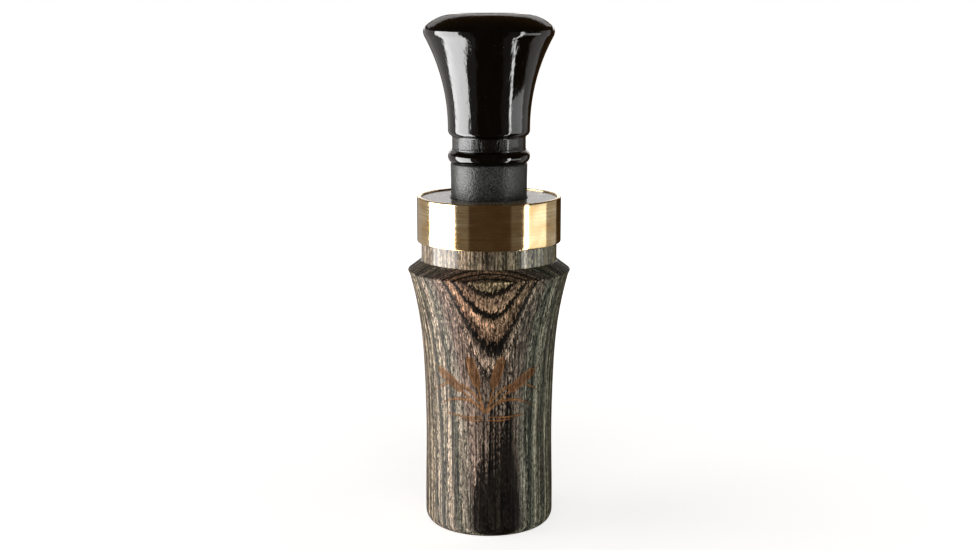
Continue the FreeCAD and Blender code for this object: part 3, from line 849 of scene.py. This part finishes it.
def makeWedge():
    # section is the part of a circle between two flats, from the nearer of the two in each direction;
    # its ends shrink by the chamfer, and small pits are pressed in from a sum of sines
    low, high = (np.array(corner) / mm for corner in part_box("wedge"))
    turn = fullTurn(wedge["around"])
    middle = (low[1] + high[1]) / 2
    half = (high[1] - low[1]) / 2
    circle = math.hypot(high[0], high[1])
    reach = np.linspace(0, circle, 400)[:, None]
    x, y = reach * np.cos(turn), middle + reach * np.sin(turn)
    within = (np.hypot(x, y) < circle) & (np.abs(y - middle) < half)
    radius = np.where(within, reach, 0).max(0)
    height = np.linspace(low[2], high[2], wedge["rows"])
    fromEnd = np.minimum(height - low[2], high[2] - height)
    shrink = np.clip(wedge["chamfer"] - fromEnd, 0, None)
    ring = np.clip(radius[None] - shrink[:, None], 0.2, None)
    wave = (np.sin(5.3 * turn[None] + 2.1 * height[:, None])
            + np.sin(11 * turn[None] - 3.7 * height[:, None] + 1.3))
    ring = ring - wedge["pits"] * np.clip(wave - 1.2, 0, None)
    points = np.stack([ring * np.cos(turn), middle + ring * np.sin(turn), height[:, None] + 0 * ring], -1)
    piece = gridPiece("corkWedge", points, ring=False)
    finishPiece(piece, "wedge", "wedge", makeCork())


makeWedge()
print("wedge made")


# floor, lights and camera
studio = {
    "floorSize": 12.0,
    "glowNear": 40.0, "glowFar": 260.0,     # millimetres from the call
    "glowLow": 0.72,        # share of the floor's glow at the near distance
    "distance": 0.7,        # from the call to each panel
    "surround": (1.0, 0.54, 0.2, 1), "surroundStrength": 0.045,
    "lens": 57.4, "sensorWidth": 36.0,
    "cameraBack": 0.360, "cameraHeight": 0.126, "aimHeight": 0.0597,
}

# upright panels: azimuth from the front, spread, lowest, highest, brightness
panels = {
    "left": (-82.0, 52.0, -1.1, 0.2, 9.3),
    "leftSoft": (-44.0, 24.0, -0.9, 0.2, 0.13),
    "leftEdge": (-135.0, 50.0, -0.9, 0.2, 0.4),
    "rightSoft": (46.0, 22.0, -0.9, 0.2, 0.08),
    "rightStrip": (61.0, 6.0, -0.7, 0.2, 10.5),
    "rightPanel": (82.0, 40.0, -0.15, 0.05, 1.8),
    "rightEdge": (117.0, 34.0, -0.9, 0.2, 0.4),
    "backLow": (180.0, 50.0, 0.13, 0.23, 1.5),
    "backHigh": (-172.0, 80.0, 0.30, 0.56, 0.5),
}

# a broad front light that brightens surfaces without showing in them
fill = (0.0, 60.0, 0.0, 0.4, 2.8)


def makeFloor():
    side = np.array([-1, 1]) * studio["floorSize"] / 2
    x, y = np.meshgrid(side, side)
    corners = np.stack([x.ravel(), y.ravel(), 0 * x.ravel()], 1)
    mesh = bpy.data.meshes.new("floor")
    mesh.from_pydata(corners.tolist(), [], [(0, 1, 3, 2)])
    floor = bpy.data.objects.new("floor", mesh)
    bpy.context.scene.collection.objects.link(floor)
    material, tree, shader, point = newMaterial("paleFloor")
    shade = noise(tree, stretched(tree, point, (0.004, 0.004, 0.004)), 2.0)
    tree.links.new(mixed(tree, shade, dye(240, 240, 239), dye(246, 246, 245)), shader["Base Color"])
    shader["Roughness"].default_value = 0.9
    shader["Specular IOR Level"].default_value = 0.0
    # glows like a lit table: a little less close to the call, so that its shadow still shows there
    away = put(tree, "ShaderNodeVectorMath", {0: point}, operation="LENGTH").outputs["Value"]
    glow = ranged(tree, away, studio["glowNear"], studio["glowFar"], studio["glowLow"], 1.0)
    tree.links.new(glow, shader["Emission Strength"])
    shader["Emission Color"].default_value = (1, 1, 1, 1)
    mesh.materials.append(material)
    # reflections and bounced light look past the floor, as with the call held up in a light tent
    floor.visible_glossy = False
    floor.visible_diffuse = False


def softbox(name, azimuth, spread, low, high, brightness, glossy=True):
    # an upright panel that faces the call and spans a range of azimuth, 0 at the front
    angle = math.radians(azimuth)
    distance = studio["distance"]
    width = 2 * distance * math.tan(math.radians(spread) / 2)
    light = bpy.data.lights.new(name, "AREA")
    light.shape = "RECTANGLE"
    light.size, light.size_y = width, high - low
    light.energy = brightness * width * (high - low) * math.pi
    lamp = bpy.data.objects.new(name, light)
    lamp.location = (distance * math.sin(angle), -distance * math.cos(angle), (low + high) / 2)
    lamp.rotation_euler = (math.pi / 2, 0, angle)
    lamp.visible_camera = False
    lamp.visible_glossy = glossy
    bpy.context.scene.collection.objects.link(lamp)


def makeWorld():
    # white where the camera looks past the call, dim and warm for everything else
    world = bpy.data.worlds.new("studio")
    world.use_nodes = True
    tree = world.node_tree
    tree.nodes.clear()
    seen = put(tree, "ShaderNodeBackground", {"Color": (1, 1, 1, 1), "Strength": 1.0}).outputs[0]
    inputs = {"Color": studio["surround"], "Strength": studio["surroundStrength"]}
    around = put(tree, "ShaderNodeBackground", inputs).outputs[0]
    ray = put(tree, "ShaderNodeLightPath").outputs["Is Camera Ray"]
    mix = put(tree, "ShaderNodeMixShader", {0: ray, 1: around, 2: seen}).outputs[0]
    put(tree, "ShaderNodeOutputWorld", {"Surface": mix})
    bpy.context.scene.world = world


def makeCamera():
    data = bpy.data.cameras.new("camera")
    data.lens = studio["lens"]
    data.sensor_width = studio["sensorWidth"]
    camera = bpy.data.objects.new("camera", data)
    camera.location = (0.0, -studio["cameraBack"], studio["cameraHeight"])
    pitch = math.atan2(studio["cameraHeight"] - studio["aimHeight"], studio["cameraBack"])
    camera.rotation_euler = (math.pi / 2 - pitch, 0, 0)
    bpy.context.scene.collection.objects.link(camera)
    bpy.context.scene.camera = camera


makeFloor()
for title, panel in panels.items():
    softbox(title, *panel)
softbox("fill", *fill, glossy=False)
makeWorld()
makeCamera()
bpy.context.scene.view_settings.view_transform = "Standard"
print("studio made")
